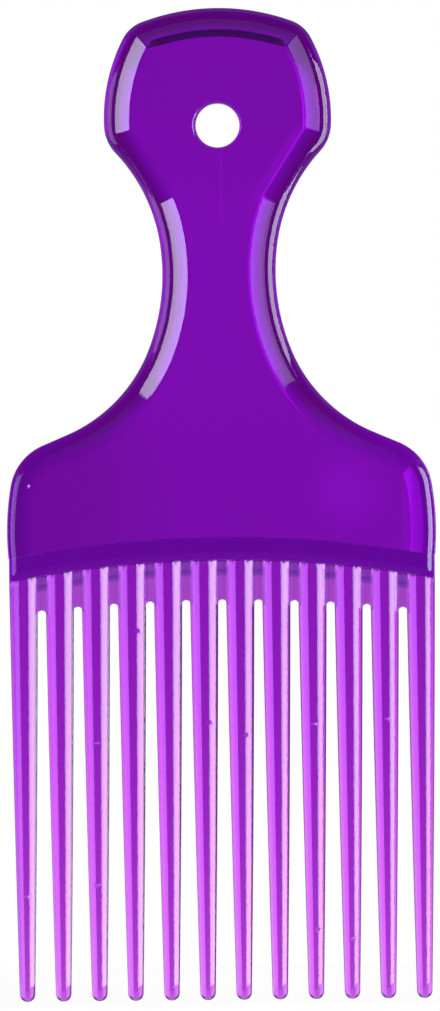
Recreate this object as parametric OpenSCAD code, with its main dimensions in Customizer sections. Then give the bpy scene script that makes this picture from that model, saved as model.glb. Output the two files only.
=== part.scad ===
// Afro pick: a long-toothed comb, moulded in one piece of clear tinted plastic.
// It stands on its teeth: the handle is up, and the front faces -Y.
// The origin is the centre of the hanging hole.

/* [Head] */
// Height of the crown above the hanging hole
crown_h = 20.1; // [18:0.1:24]
// Radius of the crown's arc
crown_r = 37; // [32:0.5:60]
// Radius of the two corners beside the crown
corner_r = 6; // [5.5:0.1:8]
// Width of the head at its widest
head_w = 38.9; // [36:0.1:44]
// Radius of the head's bulging sides
side_r = 29.7; // [26:0.1:40]
// Height of the widest place above the hanging hole
widest_h = 1.2; // [-1:0.1:3]
// Radius of the two jaws, where the head turns in to the neck
jaw_r = 7.1; // [5.5:0.1:9]
// Diameter of the hanging hole
hole_d = 7.5; // [5:0.1:9]
// Depth and width of the chamfer round the hanging hole
hole_chamfer = 0.4; // [0.2:0.05:0.6]

/* [Neck] */
// Width of the neck at the waist
waist_w = 19.4; // [17:0.1:24]
// Depth of the waist below the hanging hole
waist_drop = 25.2; // [24:0.1:30]
// Radius of the hollow at the waist
waist_r = 35.7; // [32:0.1:45]
// Radius of the hollow above the waist
throat_r = 28.9; // [24:0.1:31]
// Radius of the hollow below the waist
hip_r = 26; // [22:0.1:30]

/* [Shoulders] */
// Height of the shoulders, from the foot of the hip's hollow to the tooth bar
shoulder_h = 15.75; // [13:0.05:20]
// How far the flanks' widest place lies below the foot of the hip's hollow
flank_drop = 14.65; // [12:0.05:16]
// How far the flanks bulge past the outer teeth
flank_bulge = 0.25; // [0.1:0.05:1]
// Radius of the gently bulging flanks
flank_r = 46.8; // [40:0.1:80]
// Length of the straight slope between the hip's hollow and the shoulder corner
slope_l = 4.75; // [2:0.05:7]
// Radius of the shoulder corners
shoulder_r = 9.3; // [7:0.1:11]

/* [Wall and rim] */
// Thickness of the recessed panel
panel_t = 3.4; // [3:0.1:3.8]
// Thickness of the raised rim
rim_t = 5; // [4.8:0.1:6]
// Thickness of the straight band round the rim's outer edge
rim_band = 3; // [2.4:0.1:3.4]
// Width of the rounding from the outer edge up to the rim's crest
rim_round = 1.35; // [1.1:0.05:1.5]
// Width of the rim's flat crest
rim_crest = 0.55; // [0.4:0.05:0.8]
// Width of the bevel from the crest down to the panel
rim_bevel = 2.75; // [2.3:0.05:3]

/* [Tooth bar] */
// Height of the bar
bar_h = 4.35; // [3.5:0.05:6]
// Thickness of the bar
bar_t = 4.2; // [4:0.1:4.7]
// Radius of the bar's upper edge, which arches over the teeth
bar_r = 200; // [150:5:400]
// Width of the slope from the bar's upper edge down to the panel
bar_bevel = 0.9; // [0.5:0.1:1.5]
// Width of the lip from the bar's lower edge in to the teeth
bar_lip = 0.3; // [0.1:0.05:0.6]

/* [Teeth] */
// Number of teeth
tine_n = 12; // [8:1:14]
// Distance between the middles of two teeth
tine_pitch = 6.18; // [6:0.02:6.4]
// Length of the middle teeth below the bar
tine_l = 74.85; // [50:0.05:90]
// Width of a tooth at the bar
root_w = 4.95; // [4.6:0.05:5.2]
// Width of a tooth where its tip starts to round off
tip_w = 2.65; // [2:0.05:3.2]
// Thickness of a tooth's narrow side wall at the bar
root_edge = 1.2; // [0.8:0.1:1.5]
// Thickness of a tooth's narrow side wall at the tip
tip_edge = 0.7; // [0.4:0.1:0.9]
// Height of the rounded tip
tip_h = 1.3; // [1:0.1:2]

/* [Webs] */
// Thickness of the webs that join the roots of the teeth
web_t = 1.6; // [1.4:0.1:2.2]
// Height of the middle webs below the bar
web_h = 7.05; // [5:0.05:9]
// Radius of the arch that the webs' lower ends follow
web_r = 300; // [200:10:600]

/* [Colour] */
// Colour of the moulded plastic
plastic = "darkviolet"; // [darkviolet, indigo, purple, mediumorchid]

/* [Hidden] */

// Angles that the waist's hollow spans above and below its middle
waist_up = 7.9;
waist_down = 21.4;
// Angle that a tip rounds through before its small flat end
tip_turn = 80;
// Share of a tooth's width that is its flat ridge
ridge_share = 0.28;
// Rise of a tooth's bevel as a share of its run
tine_rise_share = 0.48;
// Share of the teeth's taper that follows the square of the way down
taper_square_share = 0.35;
// Steps along a tooth, round its tip, and round the rim's outer edge
taper_steps = 6;
tip_steps = 4;
round_steps = 4;
// Steps along each arc of the outline, from the crown down to the flank, one of them along the straight slope
arc_steps = [8, 6, 6, 6, 6, 6, 9, 1, 8, 3];
// Stations where the rim and the panel are divided
rim_cut_crown = arc_steps[0] + arc_steps[1] / 2;
rim_cut_jaw = steps_before(3) + arc_steps[3] / 2;
rim_cut_hip = steps_before(8);
panel_cut_throat = steps_before(5);
panel_cut_hip = rim_cut_hip;
// Overrun of every cut past the face that it goes through
over = 0.5;
// Share of the gap between two teeth that is the radius of its round top
gap_round_share = 0.62;
$fn = 96;

rim_w = rim_round + rim_crest + rim_bevel;
comb_end = (tine_n - 1) / 2 * tine_pitch + root_w / 2;

// Middles of the circles that make up the right half of the outline
crown_c = [0, crown_h - crown_r];
side_c = [head_w / 2 - side_r, widest_h];
corner_c = meet(side_c, side_r - corner_r, crown_c, crown_r - corner_r);
waist_c = [waist_w / 2 + waist_r, -waist_drop];
throat_c = at(waist_c, waist_r - throat_r, 180 - waist_up);
jaw_c = meet(side_c, side_r - jaw_r, throat_c, throat_r + jaw_r);
hip_c = at(waist_c, waist_r - hip_r, 180 + waist_down);
hip_foot = hip_c.y - hip_r;
flank_c = [comb_end + flank_bulge - flank_r, hip_foot - flank_drop];
shoulder_c = meet(flank_c, flank_r - shoulder_r, hip_c, norm([hip_r + shoulder_r, slope_l]), -1);
slope = atan(slope_l / (hip_r + shoulder_r)) - aim(hip_c, shoulder_c) - 90;

// Levels of the bar, the teeth and the webs, and the middle of the bar's arch
bar_z = hip_foot - shoulder_h;
bar_low_z = bar_z - bar_h;
bar_low_r = bar_r - bar_h;
bar_mid = [0, bar_z - bar_r];
tine_top = bar_low_z + bar_lip;
tip_start = bar_low_z - tine_l + tip_h;
web_z = bar_low_z - web_h;
flank_end = meet(bar_mid, bar_r, flank_c, flank_r, -1);

// The arcs in order: middle, radius, first angle, last angle, and 1 where
// they bulge outwards or -1 where they are hollow. The one of no length is
// where the straight slope starts.
arcs = [
    [crown_c, crown_r, 90, aim(crown_c, corner_c), 1],
    [corner_c, corner_r, aim(crown_c, corner_c), aim(side_c, corner_c), 1],
    [side_c, side_r, aim(side_c, corner_c), aim(side_c, jaw_c), 1],
    [jaw_c, jaw_r, aim(side_c, jaw_c), aim(jaw_c, throat_c), 1],
    [throat_c, throat_r, aim(throat_c, jaw_c), 180 - waist_up, -1],
    [waist_c, waist_r, 180 - waist_up, 180 + waist_down, -1],
    [hip_c, hip_r, 180 + waist_down, 270 - slope, -1],
    [hip_c, hip_r, 270 - slope, 270 - slope, -1],
    [shoulder_c, shoulder_r, 90 - slope, aim(flank_c, shoulder_c), 1],
    [flank_c, flank_r, aim(flank_c, shoulder_c), aim(flank_c, flank_end), 1]
];

// Stations down the right half, each with its point and its outward direction
stations = [
    for (k = [0 : len(arcs) - 1]) for (j = [0 : arc_steps[k] - 1]) station(arcs[k], j / arc_steps[k]),
    station(arcs[len(arcs) - 1], 1)
];
last_station = len(stations) - 1;

// Half of the rim's section: way in from the edge, and height above the middle
rim_face = concat(
    [for (j = [0 : round_steps]) let (a = 90 * j / round_steps)
        [rim_round * (1 - cos(a)), rim_band / 2 + (rim_t - rim_band) / 2 * sin(a)]],
    [[rim_round + rim_crest, rim_t / 2], [rim_w, panel_t / 2]]
);
rim_section = concat(rim_face, [for (j = [len(rim_face) - 1 : -1 : 0]) [rim_face[j].x, -rim_face[j].y]]);

function two_digits(i) = str(i < 10 ? "0" : "", i);
function at(middle, r, a) = middle + r * [cos(a), sin(a)];
function aim(from, to) = atan2(to.y - from.y, to.x - from.x);
function steps_before(k) = k == 0 ? 0 : arc_steps[k - 1] + steps_before(k - 1);

// Point at ra from a and at rb from b, on the left of the way from a to b, or
// on its right where hand is -1
function meet(a, ra, b, rb, hand = 1) =
    let (
        d = norm(b - a),
        k = (ra * ra - rb * rb + d * d) / (2 * d),
        h = sqrt(max(ra * ra - k * k, 0)),
        u = (b - a) / d
    )
    a + k * u + hand * h * [-u.y, u.x];

function station(arc, t) =
    let (a = arc[2] + (arc[3] - arc[2]) * t)
    [at(arc[0], arc[1], a), arc[4] * [cos(a), sin(a)]];

// Point of station i that lies a given way in from the outline. The last
// station's points drop onto the upper edge of the tooth bar.
function inset(i, way) =
    let (s = stations[i], p = s[0] - way * s[1])
    i < last_station ? p : [p.x, bar_mid.y + sqrt(bar_r * bar_r - p.x * p.x)];

// Ring of the rim's section at station i, in the drawing plane with height up
function rim_ring(i, side = 1) =
    [for (s = rim_section) let (p = inset(i, s.x)) [side * p.x, p.y, s.y]];

function panel_edge(first, last, side) = [for (i = [first : last]) let (p = inset(i, rim_w)) [side * p.x, p.y]];
function turned(list) = [for (i = [len(list) - 1 : -1 : 0]) list[i]];

// Size of a tooth's section a share of the way down from the bar
function taper(t) = t * (1 - taper_square_share) + t * t * taper_square_share;
function tine_w(t) = root_w + (tip_w - root_w) * taper(t);
function tine_edge(t) = root_edge + (tip_edge - root_edge) * taper(t);

// Height of a tooth's ridge above its middle
function tine_deep(w, edge) = edge / 2 + w * (1 - ridge_share) / 2 * tine_rise_share;

// Eight-sided section: side wall, bevel and flat ridge, front and back
function tine_ring(x, z, w, edge) =
    let (ridge = w * ridge_share / 2, deep = tine_deep(w, edge))
    [for (p = [
        [w / 2, -edge / 2], [w / 2, edge / 2], [ridge, deep], [-ridge, deep],
        [-w / 2, edge / 2], [-w / 2, -edge / 2], [-ridge, -deep], [ridge, -deep]
    ]) [x + p.x, z, p.y]];

// Rings down the taper, and then round the tip
function tine_rings(x) = concat(
    [for (j = [0 : taper_steps]) let (t = j / taper_steps)
        tine_ring(x, tine_top + (tip_start - tine_top) * t, tine_w(t), tine_edge(t))],
    [for (j = [1 : tip_steps]) let (a = tip_turn * j / tip_steps)
        tine_ring(x, tip_start - tip_h * sin(a) / sin(tip_turn), tip_w * cos(a), tip_edge * cos(a))]
);

function tine_x(i) = (i - (tine_n + 1) / 2) * tine_pitch;
function web_end(x) = web_z - web_r + sqrt(web_r * web_r - x * x);

// Closed skin over a row of rings that have the same number of points
module loft(rings) {
    n = len(rings[0]);
    last = len(rings) - 1;
    polyhedron(
        points = [for (ring = rings) each ring],
        faces = concat(
            [[for (j = [0 : n - 1]) j]],
            [for (i = [0 : last - 1]) for (j = [0 : n - 1]) let (k = (j + 1) % n)
                each [[i * n + j, (i + 1) * n + j, (i + 1) * n + k], [i * n + j, (i + 1) * n + k, i * n + k]]],
            [[for (j = [n - 1 : -1 : 0]) last * n + j]]
        )
    );
}

// Turns the drawing plane upright, with its height towards the front
module upright() {
    color(plastic) rotate([90, 0, 0]) children();
}

module slab(thick) {
    translate([0, 0, -thick / 2]) linear_extrude(thick) children();
}

module rim_side(first, last, side) {
    rings = [for (i = [first : last]) rim_ring(i)];
    upright() mirror([side < 0 ? 1 : 0, 0, 0]) loft(rings);
}

module rim_crown() {
    left = [for (i = [rim_cut_crown : -1 : 1]) rim_ring(i, -1)];
    right = [for (i = [0 : rim_cut_crown]) rim_ring(i)];
    upright() loft(concat(left, right));
}

module panel_outline(first, last) {
    polygon(concat(panel_edge(first, last, 1), turned(panel_edge(first, last, -1))));
}

module head_panel() {
    upright() difference() {
        slab(panel_t) panel_outline(0, panel_cut_throat);
        cylinder(h = panel_t + 2 * over, d = hole_d, center = true);
        for (side = [0, 1]) mirror([0, 0, side]) translate([0, 0, panel_t / 2 - hole_chamfer])
            cylinder(h = 2 * hole_chamfer, d1 = hole_d, d2 = hole_d + 4 * hole_chamfer);
    }
}

module neck_panel() {
    upright() slab(panel_t) panel_outline(panel_cut_throat, panel_cut_hip);
}

module shoulder_panel() {
    upright() slab(panel_t) difference() {
        panel_outline(panel_cut_hip, last_station);
        translate(bar_mid) circle(r = bar_r, $fn = 720);
    }
}

// Section of the bar across its height, with a small lip down to the teeth
module bar_section() {
    deep = tine_deep(root_w, root_edge);
    polygon([
        [bar_low_r, -deep], [bar_low_r, deep], [bar_low_r + bar_lip, bar_t / 2], [bar_r, bar_t / 2],
        [bar_r, -bar_t / 2], [bar_low_r + bar_lip, -bar_t / 2]
    ]);
}

// What is cut away between the rims, so that the bar slopes down to the panel
module bar_slope() {
    polygon([
        [bar_r - bar_bevel, bar_t / 2], [bar_r, panel_t / 2], [bar_r + over, panel_t / 2],
        [bar_r + over, bar_t / 2 + over], [bar_r - bar_bevel, bar_t / 2 + over]
    ]);
}

// Turns a section about the middle of the bar's arch, as far as x on each side
module arch(x) {
    half_angle = asin(x / bar_low_r);
    translate(bar_mid) rotate([0, 0, 90 - half_angle]) rotate_extrude(angle = 2 * half_angle, $fn = 720) children();
}

module tooth_bar() {
    front = [for (j = [round_steps : -1 : 0]) [comb_end - rim_face[j].x, rim_face[j].y]];
    ends = concat(front, turned([for (p = front) [p.x, -p.y]]));
    upright() intersection() {
        difference() {
            arch(comb_end + over) bar_section();
            for (side = [0, 1]) mirror([0, 0, side]) arch(comb_end - rim_w) bar_slope();
        }
        rotate([-90, 0, 0]) linear_extrude(2 * norm(bar_mid), center = true)
            polygon(concat(ends, turned([for (p = ends) [-p.x, p.y]])));
    }
}

// What lies below the bar
module below_bar() {
    translate([bar_mid.x, bar_mid.y, -rim_t]) cylinder(h = 2 * rim_t, r = bar_low_r, $fn = 720);
}

module tine(i) {
    upright() intersection() {
        loft(tine_rings(tine_x(i)));
        below_bar();
    }
}

// Web between tooth i and the next, cut by both teeth and by the gap's round top
module web(i) {
    mid = (tine_x(i) + tine_x(i + 1)) / 2;
    end_z = web_end(mid);
    gap = tine_pitch - root_w;
    upright() difference() {
        intersection() {
            translate([tine_x(i), end_z, -web_t / 2]) cube([tine_pitch, tine_top - end_z, web_t]);
            below_bar();
        }
        translate([mid, end_z, 0]) cylinder(h = web_t + 2 * over, r = gap * gap_round_share, center = true);
        for (k = [i, i + 1]) loft(tine_rings(tine_x(k)));
    }
}

module rim_head_left() rim_side(rim_cut_crown, rim_cut_jaw, -1);
module rim_head_right() rim_side(rim_cut_crown, rim_cut_jaw, 1);
module rim_neck_left() rim_side(rim_cut_jaw, rim_cut_hip, -1);
module rim_neck_right() rim_side(rim_cut_jaw, rim_cut_hip, 1);
module rim_shoulder_left() rim_side(rim_cut_hip, last_station, -1);
module rim_shoulder_right() rim_side(rim_cut_hip, last_station, 1);

head_panel();
neck_panel();
shoulder_panel();
rim_crown();
rim_head_left();
rim_head_right();
rim_neck_left();
rim_neck_right();
rim_shoulder_left();
rim_shoulder_right();
tooth_bar();
for (i = [1 : tine_n])
    tine(i);
for (i = [1 : tine_n - 1])
    web(i);
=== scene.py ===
import math

import bpy
import numpy as np
from mathutils import Matrix, Vector
from mathutils.geometry import delaunay_2d_cdt


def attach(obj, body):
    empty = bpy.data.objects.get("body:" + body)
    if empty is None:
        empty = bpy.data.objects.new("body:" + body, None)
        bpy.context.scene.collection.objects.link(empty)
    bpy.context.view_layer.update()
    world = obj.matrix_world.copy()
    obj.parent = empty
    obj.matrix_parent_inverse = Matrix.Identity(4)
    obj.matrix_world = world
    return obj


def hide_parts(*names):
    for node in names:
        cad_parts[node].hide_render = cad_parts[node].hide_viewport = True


# An afro pick: a handle with a raised rim and a row of twelve long teeth,
# moulded in one piece of clear purple plastic. Lengths are in millimetres
# until they go into a mesh. Sheets are worked out as x, height above the
# hanging hole, and half the thickness there.

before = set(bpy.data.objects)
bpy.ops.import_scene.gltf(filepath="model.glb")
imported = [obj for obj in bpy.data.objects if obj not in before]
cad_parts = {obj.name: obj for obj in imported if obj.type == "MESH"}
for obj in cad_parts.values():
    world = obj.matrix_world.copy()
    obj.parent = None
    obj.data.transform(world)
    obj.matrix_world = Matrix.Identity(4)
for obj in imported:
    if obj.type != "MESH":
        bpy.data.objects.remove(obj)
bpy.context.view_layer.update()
mm = 0.001
print("frame loaded:", len(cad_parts), "nodes")

# Plan geometry


# the point that lies at the radius from the middle, in the angle's direction
def at(middle, radius, angle):
    return np.stack([middle[0] + radius * np.cos(angle), middle[1] + radius * np.sin(angle)], -1)


# the angle of the way from one point to another
def aim(start, end):
    return math.atan2(end[1] - start[1], end[0] - start[0])


# where two circles cross, on the left of the way from the first middle to
# the second, or on its right where hand is -1
def meet(first, firstRadius, second, secondRadius, hand=1):
    first, second = np.array(first, float), np.array(second, float)
    gap = np.linalg.norm(second - first)
    along = (firstRadius**2 - secondRadius**2 + gap**2) / (2 * gap)
    aside = math.sqrt(max(firstRadius**2 - along**2, 0))
    way = (second - first) / gap
    return first + along * way + hand * aside * np.array([-way[1], way[0]])


# the point where a line meets a circle: its first crossing on the way, or the
# second one where far is set
def crossing(point, way, middle, radius, far=False):
    start = np.array(point) - middle
    along = -start @ way
    aside = math.sqrt(radius**2 - (start @ start - along**2))
    return np.array(point) + (along + (aside if far else -aside)) * way


# points of an arc from one angle to another, without its last one
def arc(middle, radius, start, end, steps):
    return at(middle, radius, start + (end - start) * np.arange(steps) / steps)


# a smooth step from 0 at low to 1 at high: 3t^2 - 2t^3 of the share t
def smooth(values, low, high):
    t = np.clip((values - low) / (high - low), 0, 1)
    return t * t * (3 - 2 * t)


# points of a quadratic curve from start to end that leans towards the corner
def curve(start, corner, end, t):
    return (1 - t) ** 2 * start + 2 * t * (1 - t) * corner + t**2 * end


# a path through the corners, each rounded by a quadratic curve that starts
# and ends the given way from it
def roundedPath(corners, ways, steps):
    corners = np.array(corners, float)
    points = [corners[:1]]
    t = np.linspace(0, 1, steps + 1)[:, None]
    for before, corner, after, way in zip(corners, corners[1:], corners[2:], ways):
        start = corner + (before - corner) * way / np.linalg.norm(before - corner)
        end = corner + (after - corner) * way / np.linalg.norm(after - corner)
        points.append(curve(start, corner, end, t))
    return np.concatenate([*points, corners[-1:]])


# Sheets: points as rows of x, height and half thickness, with faces that turn
# their fronts to -Y

sheetFinish = {"sharpAngle": 38, "mergeSteps": 1e4}  # in degrees, and in steps to the millimetre


# the quads of a grid of points; the rows run inwards or down and the columns
# run clockwise or to the right
def gridFaces(rows, columns):
    first = (np.arange(rows - 1)[:, None] * columns + np.arange(columns - 1)).ravel()
    return np.stack([first, first + columns, first + columns + 1, first + 1], -1)


# a grid of points as a sheet: its points in one list, and its quads
def gridSheet(grid):
    return grid.reshape(-1, 3), gridFaces(*grid.shape[:2])


# every sheet in one, with points in the same place made one
def joined(sheets):
    points = np.concatenate([p for p, _ in sheets])
    starts = np.cumsum([0] + [len(p) for p, _ in sheets])
    faces = [f + start for (_, f), start in zip(sheets, starts)]
    places = np.round(points * sheetFinish["mergeSteps"]).astype(np.int64)
    _, first, where = np.unique(places, axis=0, return_index=True, return_inverse=True)
    where = where.ravel()
    return points[first], [where[f] for f in faces]


# a new object for a mesh, a lamp or a camera
def placed(name, data):
    thing = bpy.data.objects.new(name, data)
    bpy.context.scene.collection.objects.link(thing)
    return thing


# closes a sheet into a solid: its front, its mirror image as the back, and a
# wall between the two along every edge that only one face has
def closedMesh(name, sheets):
    points, faces = joined(sheets)
    count = len(points)
    front = np.stack([points[:, 0], -points[:, 2], points[:, 1]], -1) * mm
    back = front * [1, -1, 1]
    edges = np.concatenate([
        np.stack([f[:, k], f[:, (k + 1) % f.shape[1]]], -1) for f in faces for k in range(f.shape[1])])
    _, where, uses = np.unique(np.sort(edges, -1), axis=0, return_inverse=True, return_counts=True)
    rim = edges[uses[where.ravel()] == 1]
    walls = np.stack([rim[:, 1], rim[:, 0], rim[:, 0] + count, rim[:, 1] + count], -1)
    polygons = [row for f in faces for row in f.tolist()]
    polygons += [row for f in faces for row in (f[:, ::-1] + count).tolist()]
    polygons += walls.tolist()
    mesh = bpy.data.meshes.new(name)
    mesh.from_pydata(np.concatenate([front, back]).tolist(), [], polygons)
    mesh.validate()
    mesh.shade_smooth()
    mesh.set_sharp_from_angle(angle=math.radians(sheetFinish["sharpAngle"]))
    print(name, len(mesh.vertices), "points,", len(mesh.polygons), "faces")
    return placed(name, mesh)


# Handle: a flat panel inside a raised rim, with a hanging hole

handle = {
    "crownHeight": 20.1, "crownRadius": 37,
    "cornerRadius": 6,
    "headWidth": 38.9, "sideRadius": 29.7, "widestHeight": 1.2,
    "jawRadius": 7.1, "throatRadius": 28.9,
    "waistWidth": 19.4, "waistDrop": 25.2, "waistRadius": 35.7,
    "waistUp": 7.9, "waistDown": 21.4,  # degrees of the waist's arc over and under its narrowest place
    "hipRadius": 26, "slopeLength": 4.75,
    "shoulderHeight": 15.75, "shoulderRadius": 9.3,
    "flankDrop": 14.65, "flankBulge": 0.249, "flankRadius": 46.8,
    "panelThickness": 3.4, "rimThickness": 5, "rimBand": 3, "rimBevel": 2.75, "flatMargin": 0.15,
    "sideFacet": (0.6, 2.23), "crestStart": 1.35, "crestEnd": 1.9,  # the narrow facet outside the crest
    "bandTop": 0.3,  # how far the band's corner lies above the band, before it is rounded
    "bandRound": 0.28, "sideRound": 0.2, "facetRound": 0.15, "crestRound": 0.03, "footRound": 0.55,
    "crownBevel": [(1.9, 2.5), (3.4, 2.04), (5.05, 1.7)],  # inset and half thickness
    "crownFade": (33, 41),  # the crown's bevel ends between these points, counted from a ring's middle
    "facetAt": (14.89, -0.09), "facetLean": 32,  # the bevel's straight facet beside the throat
    # the bevel's mitred corners, and how far inside the side facet they start
    "facetCorner": 0.35, "crispCorner": 0.5, "crispJaw": 0.8, "crispFrom": 0.3,
    "lowRim": 0.38, "lowRimFrom": -46, "lowRimTo": -60,  # how much lower the rim is at the shoulders
    "holeRadius": 3.75, "holeLip": 0.6, "holeLipShift": 0.3,
    "seamGap": 0.003,  # hairline between the handle and the tooth bar
    "roundSteps": 6, "bevelRows": 9, "lipRows": 12, "holeSteps": 144, "archSteps": 120,
}
# steps along each arc of the outline's right half, from the crown down
arcSteps = {
    "crown": 40, "corner": 14, "side": 36, "jaw": 14, "throat": 24, "throatFoot": 20, "waist": 40, "hip": 40,
    "shoulder": 24, "flank": 16,
}
# the teeth's sizes stand here too, because the handle ends where the bar starts
teeth = {
    "count": 12, "pitch": 6.18, "length": 74.85,
    "rootWidth": 4.95, "tipWidth": 2.65, "rootEdge": 1.2, "tipEdge": 0.7,
    "squareShare": 0.35, "taperLead": 0.3,  # the taper starts this far above the bar's lower arch
    "rootRidge": 0.31, "tipRidge": 0.24, "rise": 0.48, "steepening": 0.05, "steepFrom": 0.5,
    "sideRoundShare": 0.02, "sideRound": 0.15, "ridgeRoundShare": 0.02,
    "bevelTop": 0.4, "bevelTopLean": 0.6,  # the arc a bevel starts in, and how far its outer half falls
    "tipHeight": 1.3, "tipRound": 0.6, "tipThinning": 0.8, "tipTurn": 86,
    "holdRound": 0.03, "holdFade": 0.3,  # how a tooth keeps the webs' thickness between them
    "sideColumns": 5, "bevelColumns": 13, "ridgeColumns": (0.03, 0.07, 0.13),
    # rows close under the webs, as shares of the way to the tip, and counts of even rows
    "closeRows": (0.0015, 0.003, 0.0045, 0.007, 0.014), "shaftRows": 32, "tipRows": 11,
    "webThickness": 1.5, "webHeight": 7.05, "webArch": 300, "gapRoundShare": 0.62,
    "webColumns": 13, "webFlatness": 6, "webRows": 7, "webRowsEnd": 0.92,
    "webLipRows": (0.94, 0.955, 0.97, 0.98, 0.988, 0.994, 1), "webLipThinning": 0.5, "webLipRound": 0.96,
}
bar = {
    "height": 4.35, "thickness": 4.2, "radius": 200,
    "lowThickness": 3.7, "lowHeight": 1.9, "lowRows": (0.04, 0.5, 0.97, 1), "lowEnd": 0.02,
    "root": 0.58, "rootSwell": [(0.74, 0.06), (0.79, 0.35), (0.86, 0.75), (0.93, 0.96), (1, 1)],
    # over a web the root's rows are drawn together, so that the step is almost upright
    "webStep": 0.95, "webStepSpan": 0.06, "webStepAside": 0.6, "webStepFade": 0.1,
    "slope": 0.16, "slopeLead": 0.1, "slopeRound": 0.06, "slopeShares": (0, 0.05, 0.2, 0.8, 1),
}

combEnd = (teeth["count"] - 1) / 2 * teeth["pitch"] + teeth["rootWidth"] / 2
bevelFoot = handle["crestEnd"] + handle["rimBevel"]
waistUp, waistDown = math.radians(180 - handle["waistUp"]), math.radians(180 + handle["waistDown"])
crownMiddle = (0, handle["crownHeight"] - handle["crownRadius"])
sideMiddle = (handle["headWidth"] / 2 - handle["sideRadius"], handle["widestHeight"])
waistMiddle = (handle["waistWidth"] / 2 + handle["waistRadius"], -handle["waistDrop"])
throatMiddle = at(waistMiddle, handle["waistRadius"] - handle["throatRadius"], waistUp)
hipMiddle = at(waistMiddle, handle["waistRadius"] - handle["hipRadius"], waistDown)
hipFoot = hipMiddle[1] - handle["hipRadius"]
flankMiddle = (combEnd + handle["flankBulge"] - handle["flankRadius"], hipFoot - handle["flankDrop"])
slopeReach = math.hypot(handle["hipRadius"] + handle["shoulderRadius"], handle["slopeLength"])
shoulderReach = handle["flankRadius"] - handle["shoulderRadius"]
shoulderMiddle = meet(flankMiddle, shoulderReach, hipMiddle, slopeReach, -1)
slopeLean = math.atan(handle["slopeLength"] / (handle["hipRadius"] + handle["shoulderRadius"]))
slope = slopeLean - aim(hipMiddle, shoulderMiddle) - math.pi / 2
barTop = hipFoot - handle["shoulderHeight"]
barMiddle = (0, barTop - bar["radius"])
flankEnd = meet(barMiddle, bar["radius"], flankMiddle, handle["flankRadius"], -1)


# height of the bar's arch of this radius at x: the circle's upper half
def archHeight(x, radius):
    return barMiddle[1] + np.sqrt(radius**2 - x**2)


# one ring of the handle: the right half's arcs, all moved in by the inset, and
# the left half mirrored. As sharp goes from 0 to 1, the corners close up into
# mitres and a straight facet takes the throat's place
def handleRing(inset, sharp):
    crown, side, flank = (handle[name] - inset for name in ("crownRadius", "sideRadius", "flankRadius"))
    throat, waist, hip = (handle[name] + inset for name in ("throatRadius", "waistRadius", "hipRadius"))
    lean = math.radians(handle["facetLean"])
    way = np.array([-math.sin(lean), -math.cos(lean)])
    line = np.array(handle["facetAt"]) + (bevelFoot - inset) * np.array([math.cos(lean), -math.sin(lean)])
    top = crossing(line, way, sideMiddle, side)
    low = crossing(line, way, throatMiddle, throat, far=True)
    junction = aim(throatMiddle, low)

    def cornerMiddle(radius):
        return meet(sideMiddle, side - radius, crownMiddle, crown - radius)

    def upper(cornerRadius, jawRadius):
        corner = cornerMiddle(cornerRadius)
        jaw = meet(sideMiddle, side - jawRadius, throatMiddle, throat + jawRadius)
        fromCrown, fromSide = aim(crownMiddle, corner), aim(sideMiddle, corner)
        return [
            arc(crownMiddle, crown, math.pi / 2, fromCrown, arcSteps["crown"]),
            arc(corner, cornerRadius, fromCrown, fromSide, arcSteps["corner"]),
            arc(sideMiddle, side, fromSide, aim(sideMiddle, jaw), arcSteps["side"]),
            arc(jaw, jawRadius, aim(sideMiddle, jaw), aim(jaw, throatMiddle), arcSteps["jaw"]),
            arc(throatMiddle, throat, aim(throatMiddle, jaw), junction, arcSteps["throat"])]

    soft = upper(handle["cornerRadius"] - inset, handle["jawRadius"] - inset)
    crisp = upper(handle["crispCorner"], handle["crispJaw"])
    turn = aim(sideMiddle, top) + handle["facetCorner"] / side
    start, end = at(sideMiddle, side, turn), top + way * handle["facetCorner"]
    fromSide = aim(sideMiddle, cornerMiddle(handle["crispCorner"]))
    crisp[2] = arc(sideMiddle, side, fromSide, turn, arcSteps["side"])
    crisp[3] = curve(start, top, end, (np.arange(arcSteps["jaw"]) / arcSteps["jaw"])[:, None])
    t = (np.arange(arcSteps["throat"]) / arcSteps["throat"])[:, None]
    crisp[4] = end * (1 - t) + low * t

    hipEnd, shoulderStart = math.pi * 1.5 - slope, math.pi / 2 - slope
    flankStart, flankFoot = aim(flankMiddle, shoulderMiddle), aim(flankMiddle, flankEnd)
    shoulder = handle["shoulderRadius"] - inset
    lower = [
        arc(throatMiddle, throat, junction, waistUp, arcSteps["throatFoot"]),
        arc(waistMiddle, waist, waistUp, waistDown, arcSteps["waist"]),
        arc(hipMiddle, hip, waistDown, hipEnd, arcSteps["hip"]),
        at(hipMiddle, hip, np.array([hipEnd])),
        arc(shoulderMiddle, shoulder, shoulderStart, flankStart, arcSteps["shoulder"]),
        arc(flankMiddle, flank, flankStart, flankFoot, arcSteps["flank"]),
        at(flankMiddle, flank, np.array([flankFoot]))]
    right = np.concatenate([np.concatenate(soft) * (1 - sharp) + np.concatenate(crisp) * sharp, *lower])
    right[0, 0] = 0
    right[-1, 1] = archHeight(right[-1, 0], bar["radius"] + handle["seamGap"])
    return np.concatenate([right[:0:-1] * [-1, 1], right])


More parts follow.
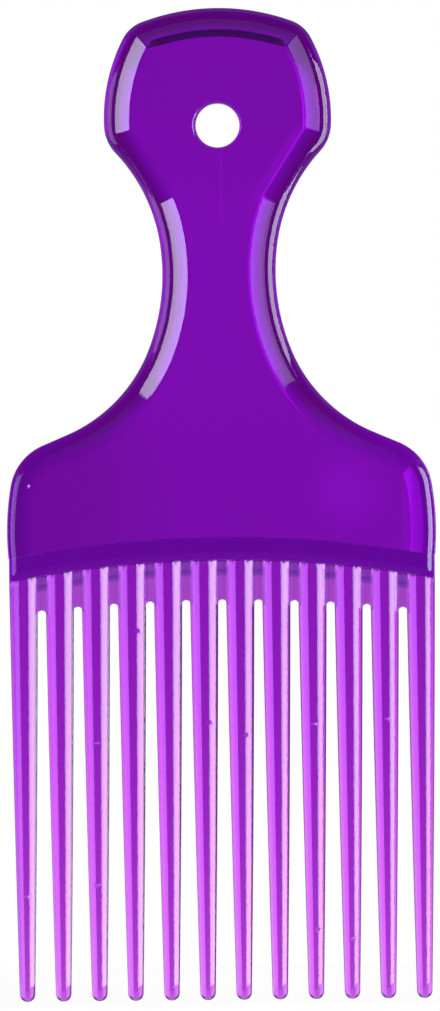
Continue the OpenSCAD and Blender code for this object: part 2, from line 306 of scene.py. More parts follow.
# the rim's section as inset and half thickness: up from the outer band, the
# narrow side facet, the crest, the bevel and a flat margin of the panel
def rimSection():
    half, band, panel = (handle[name] / 2 for name in ("rimThickness", "rimBand", "panelThickness"))
    corners = [
        (0, band), (0, band + handle["bandTop"]), handle["sideFacet"], (handle["crestStart"], half),
        (handle["crestEnd"], half), (bevelFoot, panel),
        (bevelFoot + handle["footRound"] + handle["flatMargin"], panel)]
    rounds = [handle[name] for name in ("bandRound", "sideRound", "facetRound", "crestRound", "footRound")]
    path = roundedPath(corners, rounds, handle["roundSteps"])
    # more rows down the bevel, between the rounds of the crest and of the foot
    last = 1 + (len(rounds) - 1) * (handle["roundSteps"] + 1)
    shares = np.linspace(0, 1, handle["bevelRows"] + 2)[1:-1, None]
    bevel = path[last - 1] + (path[last] - path[last - 1]) * shares
    return np.concatenate([path[:last], bevel, path[last:]])


# how much lower the rim's section is at the shoulders, at each inset
def rimSink(inset):
    share = np.interp(inset, [0, handle["sideFacet"][0], handle["crestEnd"], bevelFoot], [0, 1, 1, 0])
    return handle["lowRim"] * share


# the rim as a grid of rings, one for each point of its section; it gets lower
# towards the tooth bar, and has a bevel of its own under the crown
def rimGrid():
    section = rimSection()
    sharp = smooth(section[:, 0], handle["sideFacet"][0] + handle["crispFrom"], handle["crestEnd"])
    underCrown = np.interp(section[:, 0], *zip(*handle["crownBevel"]))
    underCrown = np.where(section[:, 0] > handle["crestEnd"], underCrown, section[:, 1])
    rings = []
    for (inset, half), share, low, crown in zip(section, sharp, rimSink(section[:, 0]), underCrown):
        plan = handleRing(inset, share)
        down = 1 - smooth(plan[:, 1], handle["lowRimTo"], handle["lowRimFrom"])
        fromMiddle = np.abs(np.arange(len(plan)) - len(plan) // 2)
        onCrown = 1 - smooth(fromMiddle, *handle["crownFade"])
        height = half - low * down + (crown - half) * onCrown
        rings.append(np.stack([plan[:, 0], plan[:, 1], height], -1))
    return np.stack(rings)


# the hole's lip: a quarter round from the bore out to the panel, wider on the
# left, and a ring of flat panel round it
def holeGrid():
    turn = np.linspace(0, math.pi / 2, handle["lipRows"])[:, None]
    half = handle["panelThickness"] / 2
    angles = -np.linspace(0, 2 * math.pi, handle["holeSteps"] + 1)[None, :]
    lip = handle["holeLip"] * (1 - handle["holeLipShift"] * np.cos(angles))
    outer = handle["holeRadius"] + lip + handle["flatMargin"]
    radii = np.concatenate([handle["holeRadius"] + lip * (1 - np.cos(turn)), outer])
    heights = np.concatenate([half - lip * (1 - np.sin(turn)), half + 0 * lip])
    return np.concatenate([at((0, 0), radii[::-1], angles), heights[::-1, :, None]], -1)


# the flat panel between the rim's last ring, the bar's arch and the hole's
# outer ring, as a Delaunay triangulation
def panelSheet(rimEdge, holeEdge):
    x = np.linspace(rimEdge[-1, 0], rimEdge[0, 0], handle["archSteps"] + 1)[1:-1]
    arch = np.stack([x, archHeight(x, bar["radius"] + handle["seamGap"])], -1)
    outer = np.concatenate([rimEdge[:, :2], arch])
    inner = holeEdge[:-1, :2]
    loops = [np.arange(len(outer)), np.arange(len(inner)) + len(outer)]
    edges = [pair for loop in loops for pair in zip(loop.tolist(), np.roll(loop, -1).tolist())]
    spots = [Vector(p) for p in np.concatenate([outer, inner]).tolist()]
    trianglesInside, sameWithin = 2, 1e-6  # the kind of output, and when two points are one
    found, _, faces, *_ = delaunay_2d_cdt(
        spots, edges, [loop.tolist() for loop in loops], trianglesInside, sameWithin)
    points = np.array([(*p, handle["panelThickness"] / 2) for p in found])
    triangles = np.array([f for f in faces if len(f) == 3])
    # keep the triangles outside the hole and turn them all the same way
    middle = points[triangles].mean(1)[:, :2]
    triangles = triangles[np.hypot(*middle.T) > handle["holeRadius"] + handle["holeLip"]]
    a, b, c = (points[triangles[:, k], :2] for k in range(3))
    area = (b - a)[:, 0] * (c - a)[:, 1] - (b - a)[:, 1] * (c - a)[:, 0]
    triangles[area < 0] = triangles[area < 0][:, ::-1]
    return points, triangles


rimRings, holeRings = rimGrid(), holeGrid()
panel = panelSheet(rimRings[-1], holeRings[0])
handlePiece = closedMesh("handle", [gridSheet(rimRings), gridSheet(holeRings), panel])
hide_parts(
    "head_panel", "neck_panel", "shoulder_panel", "rim_crown", "rim_head_left",
    "rim_head_right", "rim_neck_left", "rim_neck_right", "rim_shoulder_left", "rim_shoulder_right")
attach(handlePiece, "root")

# Tooth row: the bar, twelve tapering teeth with bevelled faces, and the webs
# between their roots

barLow = barTop - bar["height"]
lowRadius = bar["radius"] - bar["height"]
gapRadius = (teeth["pitch"] - teeth["rootWidth"]) * teeth["gapRoundShare"]
tipStart = barLow - teeth["length"] + teeth["tipHeight"]
toothMiddles = (np.arange(teeth["count"]) - (teeth["count"] - 1) / 2) * teeth["pitch"]
third = 1 / 3  # the ridge is the middle third of a tooth's columns


# share of the taper done at a height: mostly straight, partly squared
def taper(height):
    top = barLow + teeth["taperLead"]
    t = (top - height) / (top - tipStart)
    return t * (1 - teeth["squareShare"]) + t * np.abs(t) * teeth["squareShare"]


# a tooth's width, edge thickness or ridge share at a height: from its value at
# the root to that at the tip, by the taper
def tapered(name, height):
    root, tip = teeth["root" + name], teeth["tip" + name]
    return root + (tip - root) * taper(height)


# half thickness of a tooth at a share of its half width: the bevel rises from
# the side, a little steeper over its outer half, to the flat ridge, with a soft
# minimum at the ridge and a small quarter ellipse at the side
def toothDepth(share, width, edge, ridgeShare):
    inward = (1 - np.abs(share)) * width / 2
    ridge = edge / 2 + width * (1 - ridgeShare) / 2 * teeth["rise"]
    outer = np.clip(np.abs(share) - teeth["steepFrom"], 0, 1 - teeth["steepFrom"])
    steeper = teeth["steepening"] * width / 2 * (teeth["steepFrom"] ** 2 - outer**2)
    bevel = edge / 2 + inward * teeth["rise"] + steeper
    soft = width * teeth["ridgeRoundShare"]
    depth = (bevel + ridge - np.sqrt((bevel - ridge) ** 2 + soft**2)) / 2
    side = np.clip(1 - inward / (width * teeth["sideRoundShare"]), 0, 1)
    return depth * np.sqrt(1 - teeth["sideRound"] * side**2)


# columns across a tooth, from -1 to 1, close together at the sides and at the
# ridge's edges
def toothColumns():
    quarter = np.cos(np.radians(np.linspace(0, 90, teeth["sideColumns"])))
    side = 1 - teeth["sideRoundShare"] * 2 * (1 - quarter)
    wave = np.cos(np.radians(np.linspace(0, 180, teeth["bevelColumns"])))
    bevel = third + (side[-1] - third) * (1 + wave) / 2
    ridge = third - np.array(teeth["ridgeColumns"])
    half = np.concatenate([side, bevel[1:], ridge])
    return np.concatenate([-half, [0], half[::-1]])


# columns as shares of the tooth's half width, where the ridge has this share:
# the middle third goes to the ridge and the rest to the bevels
def spread(columns, ridge):
    onBevel = ridge + (np.abs(columns) - third) * 1.5 * (1 - ridge)
    return np.sign(columns) * np.where(np.abs(columns) < third, np.abs(columns) * 3 * ridge, onBevel)


# one tooth from the bar's lower arch to the corners of the webs beside it,
# down the taper, and round the tip; its bevels start in small arcs, and
# between the webs it is at least as thick as they are
def toothGrid(middle, cornerHeights, columns, rootRows, webbed):
    atRoot = spread(columns, teeth["rootRidge"])
    onBevel = (np.abs(atRoot) - (1 + teeth["rootRidge"]) / 2) / ((1 - teeth["rootRidge"]) / 2)
    fall = np.where(onBevel > 0, onBevel * teeth["bevelTopLean"], onBevel)
    top = archHeight(middle + atRoot * teeth["rootWidth"] / 2, lowRadius)
    top = top + teeth["bevelTop"] * np.sqrt(np.clip(1 - fall**2, 0, 1))
    corner = np.interp(columns, [-1, 1], cornerHeights)
    down = np.concatenate([teeth["closeRows"], np.linspace(0, 1, teeth["shaftRows"] + 1)[1:]])[:, None]
    heights = np.concatenate([top + (corner - top) * rootRows[:, None], corner + (tipStart - corner) * down])
    width, edge, ridge = (tapered(name, heights) for name in ("Width", "Edge", "Ridge"))
    shares = spread(columns, ridge)
    depth = toothDepth(shares, width, edge, ridge)
    web = teeth["webThickness"] / 2
    held = (depth + web + np.sqrt((depth - web) ** 2 + teeth["holdRound"] ** 2)) / 2
    hold = smooth(heights - corner, -teeth["holdFade"], 0) * np.where(columns < 0, webbed[0], webbed[1])

    # the tip: a quarter ellipse in height and width, rounded in depth over its last stretch
    turn = np.radians(np.linspace(0, teeth["tipTurn"], teeth["tipRows"] + 1)[1:, None])
    shrink = np.cos(turn)
    tipHeights = tipStart - teeth["tipHeight"] * np.sin(turn) + 0 * columns
    tipShares = spread(columns, teeth["tipRidge"]) + 0 * shrink
    tipDepth = toothDepth(tipShares, teeth["tipWidth"] * shrink, teeth["tipEdge"], teeth["tipRidge"])
    end = np.clip(1 - teeth["tipHeight"] * (1 - np.sin(turn)) / teeth["tipRound"], 0, 1)
    tipDepth = tipDepth * np.sqrt(1 - teeth["tipThinning"] * end**2)

    x = np.concatenate([shares * width, tipShares * teeth["tipWidth"] * shrink]) / 2
    half = np.concatenate([depth * (1 - hold) + held * hold, tipDepth])
    return np.stack([middle + x, np.concatenate([heights, tipHeights]), half], -1)


# a web between two teeth, flat at its own thickness, its lower end arched and
# rounded
def webGrid(leftSide, rightSide, rootRows, mid):
    s = (1 - np.cos(np.linspace(0, 1, teeth["webColumns"]) * math.pi)) / 2
    base = leftSide[:, None] * (1 - s[:, None]) + rightSide[:, None] * s[:, None]
    reach = np.abs(base[-1, 0, 0] - mid)
    arch = np.sqrt(gapRadius**2 - np.minimum((base[..., 0] - mid) ** 2, gapRadius**2))
    lift = arch - math.sqrt(gapRadius**2 - reach**2)
    inside = 1 - (2 * s - 1) ** teeth["webFlatness"]
    half = base[..., 2] + (teeth["webThickness"] / 2 - base[..., 2]) * inside
    lipFrom = teeth["webLipRows"][0]
    lip = np.clip((rootRows - lipFrom) / (1 - lipFrom), 0, 1)[:, None]
    thinner = 1 - np.sqrt(1 - lip**2 * teeth["webLipRound"])
    half = half * (1 - teeth["webLipThinning"] * inside * thinner)
    height = base[..., 1] + np.maximum(lift, 0) * rootRows[:, None] ** 3
    return np.stack([base[..., 0], height, half], -1)


# the bar above all columns: a root that swells from the teeth and steps up from
# the webs, a sloping lower face, the full face, and a short slope down to the
# panel and the rim's ends
def barGrid(lowerEdge):
    x = lowerEdge[:, 0]
    section = rimSection()
    fromEnd = combEnd - np.abs(x)
    foot = np.interp(fromEnd, section[:, 0], section[:, 1] - rimSink(section[:, 0]))
    crest = np.where(fromEnd > handle["crestStart"], handle["rimThickness"] / 2, foot)
    face = np.minimum(bar["thickness"] / 2, crest)
    low = np.minimum(bar["lowThickness"] / 2, face)
    foot = np.minimum(face, foot)

    rows = [lowerEdge]
    aside = np.abs((x + teeth["pitch"] / 2) % teeth["pitch"] - teeth["pitch"] / 2)
    onWeb = np.clip((bar["webStepAside"] - aside) / bar["webStepFade"], 0, 1)
    for share, swell in bar["rootSwell"]:
        steep = bar["webStep"] + (share - bar["rootSwell"][0][0]) * bar["webStepSpan"]
        height = archHeight(x, lowRadius + bar["root"] * (share * (1 - onWeb) + steep * onWeb))
        rows.append(np.stack([x, height, lowerEdge[:, 2] * (1 - swell) + low * swell], -1))

    gentle = bar["lowHeight"] - bar["root"]
    levels = [(bar["root"] + gentle * t, low + (face - low) * t) for t in bar["lowRows"]]
    levels.append((bar["lowHeight"] + bar["lowEnd"], face))
    top, start = bar["height"], bar["height"] - bar["slope"]
    rises = (start - bar["slopeLead"], start, start + bar["slopeRound"], top - bar["slopeRound"], top)
    levels += [(rise, face * (1 - t) + foot * t) for rise, t in zip(rises, bar["slopeShares"])]
    rows += [np.stack([x, archHeight(x, lowRadius + rise), half], -1) for rise, half in levels]
    return np.stack(rows[::-1])


def toothRowSheets():
    columns = toothColumns()
    rootRows = np.concatenate([np.linspace(0, teeth["webRowsEnd"], teeth["webRows"]), teeth["webLipRows"]])
    gaps = (toothMiddles[1:] + toothMiddles[:-1]) / 2
    webEnd = barLow - teeth["webHeight"] - teeth["webArch"] + np.sqrt(teeth["webArch"] ** 2 - gaps**2)
    reach = teeth["pitch"] / 2 - tapered("Width", webEnd) / 2
    corners = webEnd + np.sqrt(gapRadius**2 - reach**2)
    corners = np.concatenate([corners[:1] * 2 - corners[1:2], corners, corners[-1:] * 2 - corners[-2:-1]])
    last = teeth["count"] - 1
    grids = [
        toothGrid(middle, corners[k : k + 2], columns, rootRows, (k > 0, k < last))
        for k, middle in enumerate(toothMiddles)]
    sheets = [gridSheet(grid) for grid in grids]
    rows = len(rootRows)
    edge = [grids[0][0]]
    for before, after, gap in zip(grids, grids[1:], gaps):
        web = webGrid(before[:rows, -1], after[:rows, 0], rootRows, gap)
        sheets.append(gridSheet(web))
        edge += [web[0, 1:-1], after[0]]
    sheets.append(gridSheet(barGrid(np.concatenate(edge))))
    return sheets


toothRow = closedMesh("toothRow", toothRowSheets())
numbers = range(1, teeth["count"] + 1)
tines, webs = [f"tine_{k:02d}" for k in numbers], [f"web_{k:02d}" for k in numbers[:-1]]
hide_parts("tooth_bar", *tines, *webs)
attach(toothRow, "root")
print("both pieces made")

# Shader maths: a wrapped socket whose operators add Math nodes


class Signal:
    def __init__(self, tree, socket):
        self.tree, self.socket = tree, socket

    def __add__(self, other):
        return self.tree.math("ADD", self, other)

    def __radd__(self, other):
        return self.tree.math("ADD", other, self)

    def __sub__(self, other):
        return self.tree.math("SUBTRACT", self, other)

    def __rsub__(self, other):
        return self.tree.math("SUBTRACT", other, self)

    def __mul__(self, other):
        return self.tree.math("MULTIPLY", self, other)

    def __rmul__(self, other):
        return self.tree.math("MULTIPLY", other, self)

    def __truediv__(self, other):
        return self.tree.math("DIVIDE", self, other)

    def __rtruediv__(self, other):
        return self.tree.math("DIVIDE", other, self)

    def __pow__(self, other):
        return self.tree.math("POWER", self, other)

    def __abs__(self):
        return self.tree.math("ABSOLUTE", self)


class Nodes:
    def __init__(self, tree):
        self.tree = tree
        tree.nodes.clear()

    # a node of this type: its settings first, then its sockets' values or links;
    # gives one output, or each of a tuple of them
    def add(self, kind, settings=None, output=0, **sockets):
        node = self.tree.nodes.new("ShaderNode" + kind)
        for name, value in (settings or {}).items():
            setattr(node, name, value)
        for name, value in sockets.items():
            place = int(name[1:]) if name[1:].isdigit() else name.replace("_", " ")
            self.fill(node.inputs[place], value)
        if isinstance(output, tuple):
            return [Signal(self, node.outputs[place]) for place in output]
        return Signal(self, node.outputs[output]) if len(node.outputs) else node

    def fill(self, socket, value):
        if isinstance(value, Signal):
            self.tree.links.new(value.socket, socket)
        else:
            socket.default_value = value

    def math(self, operation, *values, clamp=False):
        settings = {"operation": operation, "use_clamp": clamp}
        return self.add("Math", settings, **{f"i{k}": value for k, value in enumerate(values)})

    # 0 to 1 between two values, smoothed at both ends
    def step(self, value, low, high):
        smoothed = {"interpolation_type": "SMOOTHSTEP"}
        return self.add("MapRange", smoothed, Value=value, From_Min=low, From_Max=high)

    # up from 0 to 1 between the first two values, and down again between the other two
    def band(self, value, up, down):
        return self.step(value, *up) * (1 - self.step(value, *down))

    def noise(self, place, size, detail):
        return self.add("TexNoise", {"noise_dimensions": "3D"}, Vector=place, Scale=size, Detail=detail)

    def mixed(self, share, first, second, **settings):
        return self.add("Mix", {"data_type": "RGBA", **settings}, output=2, i0=share, i6=first, i7=second)


# Clear purple plastic: glass whose depth tints it, with a faint unevenness from the mould.
# The handle is tinted partly by its skin. Each piece's tone marks also hold painted
# shade, and on the handle a painted highlight and glow.

plastic = {
    "index": 1.57, "roughness": 0.03,
    # what a metre takes off red, green and blue, and the skin's colour at tones 1 and 0
    "handleTaken": (351, 1200, 193), "handleSkin": (0.79, 0.18, 1.0), "handleDeep": (0.53, 0.12, 0.66),
    "toothTaken": (479, 1700, 250), "toothSkin": (1.0, 1.0, 1.0), "toothDeep": (0.32, 0.36, 0.55),
    "densityRoom": 1.05,
    "thickTint": (0.95, 0.8, 0.65), "thickFrom": 2.05, "thickTo": 2.5,  # extra tint where it is thickest
    "waveSize": 45, "waveDepth": 0.00002, "speckRadius": 0.55, "speckDepth": 0.00012,
}


def clearPlastic(name, deep, skin, taken, toneMarksAndPaintedLight):
    material = bpy.data.materials.new(name)
    material.use_nodes = True
    n = Nodes(material.node_tree)
    place = n.add("TexCoord", output=3)
    x, y, z = (way / mm for way in n.add("SeparateXYZ", output=(0, 1, 2), i0=place))
    waves = n.noise(place, plastic["waveSize"], 1.0)
    tone, blisters = toneMarksAndPaintedLight(n, place, x, z)
    colour = n.mixed(tone, (*deep, 1), (*skin, 1))
    thick = n.step(abs(y), plastic["thickFrom"], plastic["thickTo"])
    colour = n.mixed(thick, colour, (*plastic["thickTint"], 1), blend_type="MULTIPLY")
    bump = n.add("Bump", Height=waves, Strength=1.0, Distance=plastic["waveDepth"])
    bump = n.add("Bump", Height=blisters, Strength=1.0, Distance=plastic["speckDepth"], Normal=bump)
    shader = n.add(
        "BsdfPrincipled", Base_Color=colour, Roughness=plastic["roughness"], IOR=plastic["index"],
        Transmission_Weight=1.0, Normal=bump)
    # absorption takes off the density times what its colour lacks from 1
    most = max(taken) * plastic["densityRoom"]
    absorb = n.add("VolumeAbsorption", Color=(*[1 - t / most for t in taken], 1), Density=most)
    n.add("OutputMaterial", Surface=shader, Volume=absorb)
    return material


# nearness to a spot of the front: 1 at the spot, 0 from the radius on
def nearness(n, x, z, spot, radius):
    far = ((x - spot[0]) ** 2 + (z - spot[1]) ** 2) ** 0.5
    return 1 - n.step(far, 0, radius)


# A mark's share of the tone has the mark's own name. Its pairs are where it
# fades in or out; paleSpot and dent are places.
handleTone = {
    "plain": 0.42, "cloudSize": 28.0, "clouds": 0.2,
    "weldAt": 0.5, "weldWidth": 0.36, "weldFoot": (-21, -15), "weldTop": (-5, -4), "weld": 0.45,
    "neckFoot": (-60, -42), "neckTop": (-16, -4), "neck": 0.2,
    "paleSpot": (21.2, -62.6), "paleRadius": 9, "pale": 0.55,
    "shoulderTop": (-54, -44), "leftEnd": (-26, -6), "rightEnd": (6, 30), "left": 0.4, "right": 0.1,
    # painted shade on the crown, above its bevel's foot
    "crownShadeFoot": (15.5, 17), "crown": 0.3,
    # painted highlight and shade lines down the right flank
    "flankHighlight": (30.4, 31.6), "flankShadeLine": (32.4, 32.9), "flankEnd": (34.6, 35), "flankTop": (-60, -57),
    "flank": 0.35,
    # a painted glow of light along the right facet's foot
    "glowStart": (-0.5, 0.1), "glowEnd": (0.6, 1.8), "glowFoot": (-15, -11), "glowTop": (-2, 1), "glow": 0.6,
    "dent": (-33.2, -61.4),
}


# the handle's tone: soft clouds of flow, a paler neck and right shoulder, a
# deeper left shoulder, painted shade on the crown, the weld line below the hole,
# a painted glow of light along the right facet's foot, painted highlight and
# shade lines down the right flank, and a dent
def handleMarksAndPaintedLight(n, place, x, z):
    t = handleTone
    clouds = n.noise(place, t["cloudSize"], 2.0)
    weld = 1 - n.step(abs(x - t["weldAt"]), 0, t["weldWidth"])
    weld = weld * n.step(z, *t["weldFoot"]) * (1 - n.step(z, *t["weldTop"]))
    neck = n.band(z, t["neckFoot"], t["neckTop"])
    shoulder = 1 - n.step(z, *t["shoulderTop"])
    left, right = 1 - n.step(x, *t["leftEnd"]), n.step(x, *t["rightEnd"])
    tone = t["plain"] + clouds * t["clouds"] + weld * t["weld"] + neck * t["neck"]
    tone = tone + nearness(n, x, z, t["paleSpot"], t["paleRadius"]) * t["pale"]
    # a painted glow of light just inside the foot of the right facet
    lean, spot = math.radians(handle["facetLean"]), handle["facetAt"]
    inward = (z - spot[1]) * math.sin(lean) - (x - spot[0]) * math.cos(lean)
    glow = n.band(inward, t["glowStart"], t["glowEnd"])
    glow = glow * n.step(z, *t["glowFoot"]) * (1 - n.step(z, *t["glowTop"]))
    # painted highlight and shade lines down the right flank: pale, then dark, then plain again
    flank = n.step(x, *t["flankHighlight"]) - n.step(x, *t["flankShadeLine"]) * 2 + n.step(x, *t["flankEnd"])
    flank = flank * (1 - n.step(z, *t["flankTop"]))
    tone = tone - shoulder * left * t["left"] + shoulder * right * t["right"]
    # painted shade on the crown, the painted highlight and shade lines of the right flank, and the painted
    # glow
    tone = tone - n.step(z, *t["crownShadeFoot"]) * t["crown"] + flank * t["flank"] + glow * t["glow"]
    return n.math("ADD", tone, 0, clamp=True), nearness(n, x, z, t["dent"], plastic["speckRadius"])


# Here a mark fades in or out at a distance below the bar, below the webs' ends,
# from a gap's middle, or along x. The specks are places.
toothTone = {
    "streakSize": (2600, 1, 45), "streaks": 0.45,
    "websTop": (-0.45, -0.35), "websFoot": (6.6, 7.4), "websSide": (0.95, 1.1), "webs": 0.33,
    "lineStart": (0.64, 0.76), "lineEnd": (0.86, 0.94), "line": 0.25,
    # painted shade at the webs' top under the bar, with a deeper stripe
    "topShadeFoot": (1.9, 2.4), "shadeStripeStart": (0.8, 1.2), "shadeStripeEnd": (1.4, 1.9), "shadeStripe": 0.5, "top": 0.42,
    # painted shade in the creases beside the webs and under their foot
    "creaseShadeStart": (0.92, 1.04), "creaseShadeEnd": (1.2, 1.34), "creaseShadeTop": (0.2, 0.8), "creaseShade": 0.9,
    "footShadeTop": (-0.3, -0.1), "footShadeSide": (0.9, 1), "footShadeEnd": (0.05, 0.25), "rowEnd": (34.4, 34.6),
    # painted shade on the teeth's left bevels, deeper towards the tips
    "leftBevelShadeStart": (1.0, 1.4), "leftBevelShadeEnd": (2.6, 2.8), "bevelTop": (35, 80), "bevel": 0.25,
    "firstEnd": (-35.2, -34.4), "firstTop": (0.3, 0.8), "first": 0.32,
    "specks": [(-21.7, -105.5), (-2.5, -102.1), (3.7, -104.3), (15.5, -102.6), (28.0, -101.8),
               (-14.6, -86.4), (-33.9, -131.7), (-21.8, -129.8), (15.7, -137.7), (21.8, -139.4)],
}


# the tooth row's tone: deeper webs with streaks, a pale line inside their sides,
# painted shade in a striped band at their top under the bar and in a line along
# their sides and foot, where they meet the teeth, a deeper first tooth, painted
# shade on the left bevels that deepens towards the tips, and a few blisters
def toothMarksAndPaintedShade(n, place, x, z):
    t = toothTone
    stretched = n.add("VectorMath", {"operation": "MULTIPLY"}, i0=place, i1=t["streakSize"])
    streaks = n.noise(stretched, 1.0, 1.0)
    below = barLow - z - x**2 / (2 * lowRadius)
    aside = n.math("PINGPONG", x, teeth["pitch"] / 2)
    webs = n.band(below, t["websTop"], t["websFoot"]) * (1 - n.step(aside, *t["websSide"]))
    line = n.band(aside, t["lineStart"], t["lineEnd"])
    low = barLow - teeth["webHeight"] - z - x**2 / (2 * teeth["webArch"])
    # painted shade in the creases beside the webs and under their foot
    creaseShade = n.band(aside, t["creaseShadeStart"], t["creaseShadeEnd"]) * n.step(below, *t["creaseShadeTop"])
    foot = n.step(low, *t["footShadeTop"]) * (1 - n.step(aside, *t["footShadeSide"]))
    creaseShade = (creaseShade + foot) * (1 - n.step(low, *t["footShadeEnd"])) * (1 - n.step(abs(x), *t["rowEnd"]))
    # painted shade at the webs' top under the bar, with a deeper stripe
    top = 1 - n.step(below, *t["topShadeFoot"]) + n.band(below, t["shadeStripeStart"], t["shadeStripeEnd"]) * t["shadeStripe"]
    # painted shade on each tooth's left bevel, deeper towards the tips
    across = n.math("WRAP", x, teeth["pitch"], 0.0)
    bevel = n.band(across, t["leftBevelShadeStart"], t["leftBevelShadeEnd"])
    first = (1 - n.step(x, *t["firstEnd"])) * n.step(below, *t["firstTop"])
    onWebs = line * t["line"] - top * t["top"] + (streaks - 0.5) * t["streaks"] - t["webs"]
    tone = webs * onWebs - first * t["first"] - creaseShade * t["creaseShade"]
    tone = tone - bevel * n.step(below, *t["bevelTop"]) * t["bevel"]
    blisters = sum(nearness(n, x, z, spot, plastic["speckRadius"]) for spot in t["specks"])
    return n.math("ADD", 1, tone, clamp=True), blisters


handlePiece.data.materials.append(clearPlastic(
    "clearPurpleHandle", plastic["handleDeep"], plastic["handleSkin"], plastic["handleTaken"], handleMarksAndPaintedLight))
toothRow.data.materials.append(clearPlastic(
    "clearPurpleTeeth", plastic["toothDeep"], plastic["toothSkin"], plastic["toothTaken"], toothMarksAndPaintedShade))
print("plastic ready")

# Studio: a pale floor, a world that is white behind the object, and tall soft
# lamps in front and behind

white = (1, 1, 1, 1)
rayKinds = ("Is Camera Ray", "Is Glossy Ray", "Is Transmission Ray")
studio = {
    "roomLevel": 0.3, "frontLevel": 0.035, "frontLowLevel": 0.18, "mirroredLeft": 0.15,
    # where parts of the world start or end, along x, y or z of the way looked in
    "backStart": (0.1, 0.4), "darkLeftEnd": (-0.685, -0.655), "frontEnd": (-0.75, -0.25),
    "frontLowEnd": (-0.5, -0.3), "leftEnd": (0, 0.3), "leftTop": (0.25, 0.5),
    "floorHeight": -149.79, "floorFront": 30, "floorBack": 220, "floorSide": 480,
    "floorGlow": 0.86, "floorWhite": 1.09, "floorColour": (0.85, 0.85, 0.85, 1),
    # a dim card behind the top, seen through the crown: distance, half width, foot, top, and level
    "card": (150, 42, 53.5, 66, 0.25),
}


def makeWorld():
    world = bpy.data.worlds.new("studioWorld")
    bpy.context.scene.world = world
    world.use_nodes = True
    n = Nodes(world.node_tree)
    camera, glossy, through = n.add("LightPath", output=rayKinds)
    way = n.add("TexCoord", output=0)
    x, y, z = n.add("SeparateXYZ", output=(0, 1, 2), i0=way)
    s = studio
    # behind the pick the room is white, with a dark far left
    seen = 1 - n.step(y, *s["backStart"]) * (1 - n.step(x, *s["darkLeftEnd"]))
    # mirrored in the plastic's skin, its front is dark and only its left is light
    mirror = glossy * (1 - through)
    front = 1 - n.step(y, *s["frontEnd"])
    light = s["mirroredLeft"] * (1 - n.step(x, *s["leftEnd"])) * (1 - n.step(z, *s["leftTop"])) * (1 - front)
    seenWhite = n.math("ADD", camera, through * seen + mirror * light, clamp=True)
    lower = 1 - n.step(z, *s["frontLowEnd"])
    frontLevel = s["frontLevel"] + (s["frontLowLevel"] - s["frontLevel"]) * lower
    level = s["roomLevel"] * (1 - front * mirror) + frontLevel * front * mirror
    plain = n.add("Background", Color=white, Strength=level)
    bright = n.add("Background", Color=white, Strength=1.0)
    n.add("OutputWorld", Surface=n.add("MixShader", i0=seenWhite, i1=plain, i2=bright))


# a flat sheet in the studio, and the nodes of its new material
def studioSheet(name, materialName, corners):
    mesh = bpy.data.meshes.new(name)
    mesh.from_pydata([[c * mm for c in corner] for corner in corners], [], [(0, 1, 2, 3)])
    material = bpy.data.materials.new(materialName)
    material.use_nodes = True
    mesh.materials.append(material)
    return placed(name, mesh), Nodes(material.node_tree)


# the floor glows white wherever it is seen, over a little matt that keeps the
# object's shadow
def makeFloor():
    s = studio
    side, front, back = s["floorSide"], s["floorFront"], s["floorBack"]
    corners = [(-side, -front), (side, -front), (side, back), (-side, back)]
    floor, n = studioSheet("floor", "paleFloor", [(x, y, s["floorHeight"]) for x, y in corners])
    matt = n.add("BsdfDiffuse", Color=s["floorColour"])
    camera, glossy, through = n.add("LightPath", output=rayKinds)
    seen = n.math("ADD", camera + glossy, through, clamp=True)
    glow = n.add("Emission", Color=white, Strength=s["floorWhite"])
    n.add("OutputMaterial", Surface=n.add("MixShader", i0=seen * s["floorGlow"], i1=matt, i2=glow))


# the card is there only for rays that pass through the plastic
def makeCard():
    distance, half, foot, top, level = studio["card"]
    corners = [(-half, foot), (half, foot), (half, top), (-half, top)]
    card, n = studioSheet("dimCard", "dimCard", [(x, distance, z) for x, z in corners])
    n.add("OutputMaterial", Surface=n.add("Emission", Color=white, Strength=level))
    card.visible_camera = card.visible_diffuse = card.visible_glossy = card.visible_shadow = False


# angle round the pick in degrees, distance, width, foot and top in metres, and level
lamps = {
    "keyLamp": (40, 1.0, 0.5, -0.235, 0.25, 5.8),
    "keySideLamp": (49.9, 1.0, 0.1, -0.235, 0.25, 2.1),
    "fillLamp": (-40, 1.0, 0.5, -0.235, 0.21, 1.4),
    "keyFootLamp": (40, 1.0, 0.5, -0.43, -0.235, 5.8),
    "keySideFootLamp": (49.9, 1.0, 0.1, -0.43, -0.235, 2.1),
    "fillFootLamp": (-40, 1.0, 0.5, -0.345, -0.235, 1.4),
    "backLeftLamp": (-149.5, 1.3, 0.58, -0.2, 0.2, 0.6),
    "backRightLamp": (152, 1.3, 0.845, -0.2, 0.205, 0.4),
    "backRightLowLamp": (152, 1.31, 0.845, -0.2, 0.175, 0.4),
    "backStripLamp": (164.7, 0.1555, 0.013, -0.009, 0.015, 0.95),
}


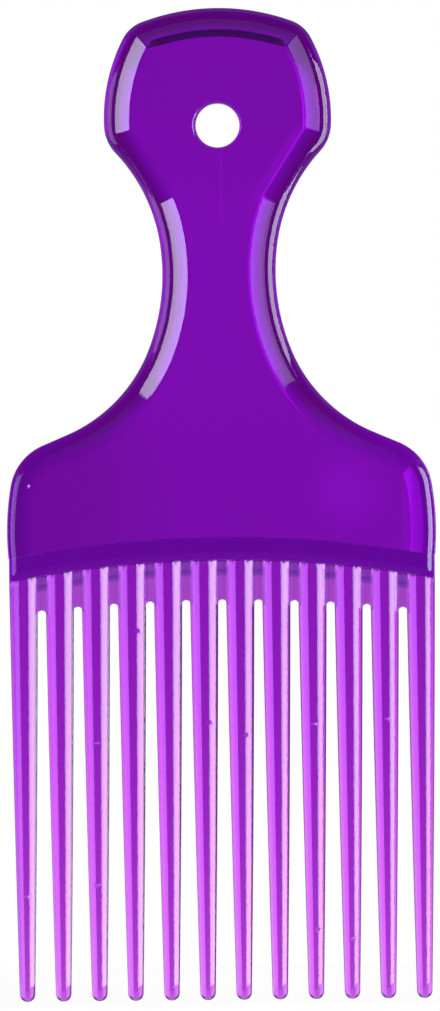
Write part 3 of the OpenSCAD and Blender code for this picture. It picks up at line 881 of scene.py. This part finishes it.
# a soft lamp that faces the pick from an angle round it, 0 in front and 90 on
# the right; its level is the brightness of its face. The lamps behind the pick
# are seen through it, but not mirrored, and the front lamps' feet only mirrored
def makeLamp(name):
    angle, distance, width, foot, top, level = lamps[name]
    lamp = bpy.data.lights.new(name, "AREA")
    lamp.shape = "RECTANGLE"
    lamp.size, lamp.size_y = width, top - foot
    lamp.energy = level * math.pi * width * (top - foot)
    turn = math.radians(angle)
    place = Vector((math.sin(turn) * distance, -math.cos(turn) * distance, (top + foot) / 2))
    holder = placed(name, lamp)
    facing = Vector((place.x, place.y, 0)).to_track_quat("Z", "Y")
    holder.matrix_world = Matrix.Translation(place) @ facing.to_matrix().to_4x4()
    holder.visible_camera = False
    holder.visible_glossy = abs(angle) < 90
    holder.visible_transmission = not name.endswith("FootLamp")


makeWorld()
makeFloor()
makeCard()
for lampName in lamps:
    makeLamp(lampName)
bpy.context.scene.view_settings.view_transform = "Standard"

# Camera: square to the front, far enough away to look flat, rolled a little as
# the photograph is

photo = {
    "width": 440, "height": 1011, "holeAt": (217.5, 125.6), "scale": 0.1712,  # in pixels, and mm to a pixel
    "lean": 0.573, "sensor": 16.5, "distance": 2885,
    "clipStart": 0.1, "clipEnd": 20,  # in metres
}


def makeCamera():
    p = photo
    lens = bpy.data.cameras.new("photoCamera")
    lens.sensor_fit = "VERTICAL"
    lens.sensor_height = p["sensor"]
    lens.lens = p["sensor"] * p["distance"] / (p["height"] * p["scale"])
    lens.clip_start, lens.clip_end = p["clipStart"], p["clipEnd"]
    camera = placed("photoCamera", lens)
    bpy.context.scene.camera = camera
    lean = math.radians(p["lean"])
    right = Vector((math.cos(lean), 0, -math.sin(lean)))
    up = Vector((math.sin(lean), 0, math.cos(lean)))
    aside = (p["holeAt"][0] - p["width"] / 2) * p["scale"]
    above = (p["height"] / 2 - p["holeAt"][1]) * p["scale"]
    middle = -(right * aside + up * above)
    turn = Matrix((right, up, Vector((0, -1, 0)))).transposed().to_4x4()
    camera.matrix_world = Matrix.Translation((middle + Vector((0, -p["distance"], 0))) * mm) @ turn


makeCamera()
print("studio ready")
